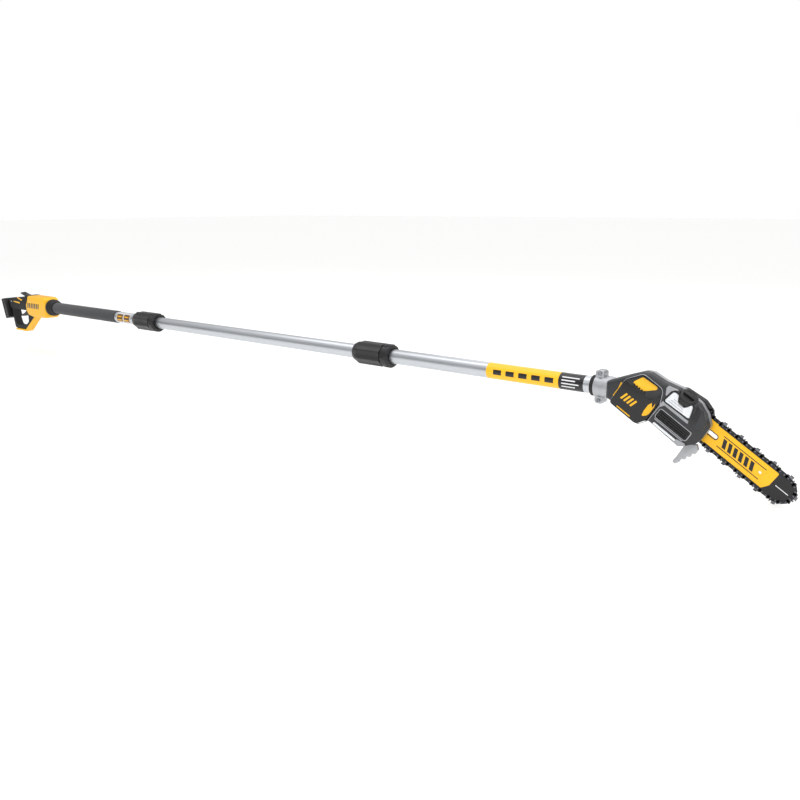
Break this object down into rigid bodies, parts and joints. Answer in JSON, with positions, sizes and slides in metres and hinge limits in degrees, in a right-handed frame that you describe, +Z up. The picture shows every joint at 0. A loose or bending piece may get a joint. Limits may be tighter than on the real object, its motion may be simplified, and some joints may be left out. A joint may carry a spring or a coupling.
{
  "type": "pole saw",
  "caption": "Cordless pole saw: D-handle with battery dock, take-apart pole with threaded collars, angled chain-saw head with guide bar and branch hook.",
  "frame": {"origin": "on the pole's axis at the middle of the foam hand grip", "axes": "+X along the pole towards the saw head, +Z up with the D-handle loop below the pole"},
  "size_m": [3.0637, 0.0795, 0.2384],
  "materials": {
    "yellow_plastic": "satin moulded",
    "black_plastic": "moulded, light texture",
    "black_rubber": "matt",
    "grip_foam": "closed-cell foam",
    "dark_grey_plastic": "moulded",
    "satin_aluminium": "satin anodised",
    "cast_aluminium": "die cast",
    "tool_steel": "ground",
    "painted_bar": "painted",
    "white_plastic": "translucent moulded",
    "copper_windings": "enamelled copper on a steel stack",
    "circuit_board": "solder mask"
  },
  "bodies": {
    "rear_handle": {"housing_shell_right": "yellow_plastic", "housing_shell_left": "yellow_plastic", "grip_shell_right": "black_plastic", "grip_shell_left": "black_plastic", "battery_dock": "black_plastic", "terminal_block": "tool_steel", "trigger_pin": "tool_steel", "trigger_spring": "tool_steel", "trigger_switch": "black_plastic", "pole_socket_ring": "black_rubber", "rear_tube": "satin_aluminium", "foam_grip": "grip_foam", "coupler_1_socket": "black_plastic", "receptacle_1": "black_plastic", "rear_lead": "black_rubber"},
    "trigger": {"trigger": "black_plastic"},
    "lock_off_lever": {"lock_off_lever": "black_plastic"},
    "coupler_1_slip_ring": {"coupler_1_slip_ring": "tool_steel"},
    "coupler_1_collar": {"coupler_1_collar": "black_plastic"},
    "extension": {"extension_tube": "satin_aluminium", "plug_1": "black_plastic", "coupler_2_socket": "black_plastic", "receptacle_2": "black_plastic", "extension_lead": "black_rubber"},
    "coupler_2_slip_ring": {"coupler_2_slip_ring": "tool_steel"},
    "coupler_2_collar": {"coupler_2_collar": "black_plastic"},
    "saw_head": {"head_tube": "satin_aluminium", "plug_2": "black_plastic", "head_lead": "black_rubber", "gear_case": "cast_aluminium", "clamp_cap": "cast_aluminium", "clamp_screw_top": "tool_steel", "clamp_screw_bottom": "tool_steel", "tube_seal_ring": "black_rubber", "head_shell": "dark_grey_plastic", "motor_cover": "black_plastic", "front_bumper": "black_plastic", "grille_panel": "black_plastic", "oil_level_window": "white_plastic", "oil_tank": "white_plastic", "stator": "copper_windings", "idler_axle": "tool_steel", "control_board": "circuit_board", "oil_pump": "black_plastic", "bar_stud": "tool_steel", "saw_chain": "tool_steel", "branch_hook": "cast_aluminium"},
    "oil_cap_gasket": {"oil_cap_gasket": "black_rubber"},
    "oil_cap": {"oil_cap": "black_plastic"},
    "rotor": {"rotor": "tool_steel", "cooling_fan": "black_plastic"},
    "idler": {"idler_gear": "tool_steel"},
    "sprocket": {"drive_gear": "tool_steel", "drive_sprocket": "tool_steel"},
    "guide_bar": {"guide_bar": "painted_bar"},
    "nose_sprocket": {"nose_sprocket": "tool_steel"},
    "tensioner": {"tensioner_screw": "tool_steel"},
    "side_cover": {"side_cover": "black_plastic"},
    "bar_nut": {"bar_nut": "black_plastic"}
  },
  "joints": [
    {"name": "trigger_squeeze", "type": "hinge", "parent": "rear_handle", "child": "trigger", "pos_m": [-0.4208, 0, -0.015], "axis": [0, 1, 0], "range_deg": [0, 12], "stiffness_Nm_per_rad": 0.5, "springref_deg": -17.19},
    {"name": "lock_off_press", "type": "hinge", "parent": "rear_handle", "child": "lock_off_lever", "pos_m": [-0.4108, 0, 0.027], "axis": [0, 1, 0], "range_deg": [-8, 0], "stiffness_Nm_per_rad": 0.4, "springref_deg": 17.19},
    {"name": "collar_1_travel", "type": "slide", "parent": "rear_handle", "child": "coupler_1_slip_ring", "axis": [-1, 0, 0], "range_m": [0, 0.0061]},
    {"name": "collar_1_turn", "type": "hinge", "parent": "coupler_1_slip_ring", "child": "coupler_1_collar", "pos_m": [0.3875, 0, 0], "axis": [1, 0, 0], "range_deg": [0, 720]},
    {"name": "extension_pull_out", "type": "slide", "parent": "rear_handle", "child": "extension", "axis": [1, 0, 0], "range_m": [0, 0.07]},
    {"name": "collar_2_travel", "type": "slide", "parent": "extension", "child": "coupler_2_slip_ring", "axis": [-1, 0, 0], "range_m": [0, 0.0061]},
    {"name": "collar_2_turn", "type": "hinge", "parent": "coupler_2_slip_ring", "child": "coupler_2_collar", "pos_m": [1.4045, 0, 0], "axis": [1, 0, 0], "range_deg": [0, 720]},
    {"name": "head_pull_out", "type": "slide", "parent": "extension", "child": "saw_head", "axis": [1, 0, 0], "range_m": [0, 0.07]},
    {"name": "oil_cap_lift", "type": "slide", "parent": "saw_head", "child": "oil_cap_gasket", "axis": [0.4679, -0.4695, 0.7488], "range_m": [0, 0.0121]},
    {"name": "oil_cap_turn", "type": "hinge", "parent": "oil_cap_gasket", "child": "oil_cap", "pos_m": [2.24492, -0.024, 0.00234], "axis": [0.4679, -0.4695, 0.7488], "range_deg": [0, 1080]},
    {"name": "sprocket_spin", "type": "hinge", "parent": "saw_head", "child": "sprocket", "pos_m": [2.2269, 0, -0.0265], "axis": [0, 1, 0], "continuous": true},
    {"name": "idler_spin", "type": "hinge", "parent": "saw_head", "child": "idler", "pos_m": [2.17863, 0, -0.01971], "axis": [0, 1, 0], "continuous": true},
    {"name": "motor_spin", "type": "hinge", "parent": "saw_head", "child": "rotor", "pos_m": [2.14446, 0, -0.01491], "axis": [0, 1, 0], "continuous": true},
    {"name": "tensioner_turn", "type": "hinge", "parent": "saw_head", "child": "tensioner", "pos_m": [2.25849, -0.006, -0.06274], "axis": [0.848, 0, -0.5299], "range_deg": [-2165, 0]},
    {"name": "bar_tension", "type": "slide", "parent": "saw_head", "child": "guide_bar", "axis": [0.848, 0, -0.5299], "range_m": [-0.006, 0]},
    {"name": "nose_spin", "type": "hinge", "parent": "guide_bar", "child": "nose_sprocket", "pos_m": [2.42874, 0.005, -0.15262], "axis": [0, 1, 0], "continuous": true},
    {"name": "side_cover_off", "type": "slide", "parent": "saw_head", "child": "side_cover", "axis": [0, 1, 0], "range_m": [0, 0.03]},
    {"name": "bar_nut_turn", "type": "hinge", "parent": "side_cover", "child": "bar_nut", "pos_m": [2.26931, 0.02, -0.05299], "axis": [0, 1, 0], "continuous": true}
  ],
  "couplings": [
    {"joint": "collar_1_travel", "follows": "collar_1_turn", "m_per_rad": 0.00047746},
    {"joint": "collar_2_travel", "follows": "collar_2_turn", "m_per_rad": 0.00047746},
    {"joint": "oil_cap_lift", "follows": "oil_cap_turn", "m_per_rad": 0.00063662},
    {"joint": "idler_spin", "follows": "sprocket_spin", "ratio": -0.80556},
    {"joint": "motor_spin", "follows": "sprocket_spin", "ratio": 2.9},
    {"joint": "nose_spin", "follows": "sprocket_spin", "ratio": 1.1818},
    {"joint": "tensioner_turn", "follows": "bar_tension", "rad_per_m": 6283.2}
  ]
}
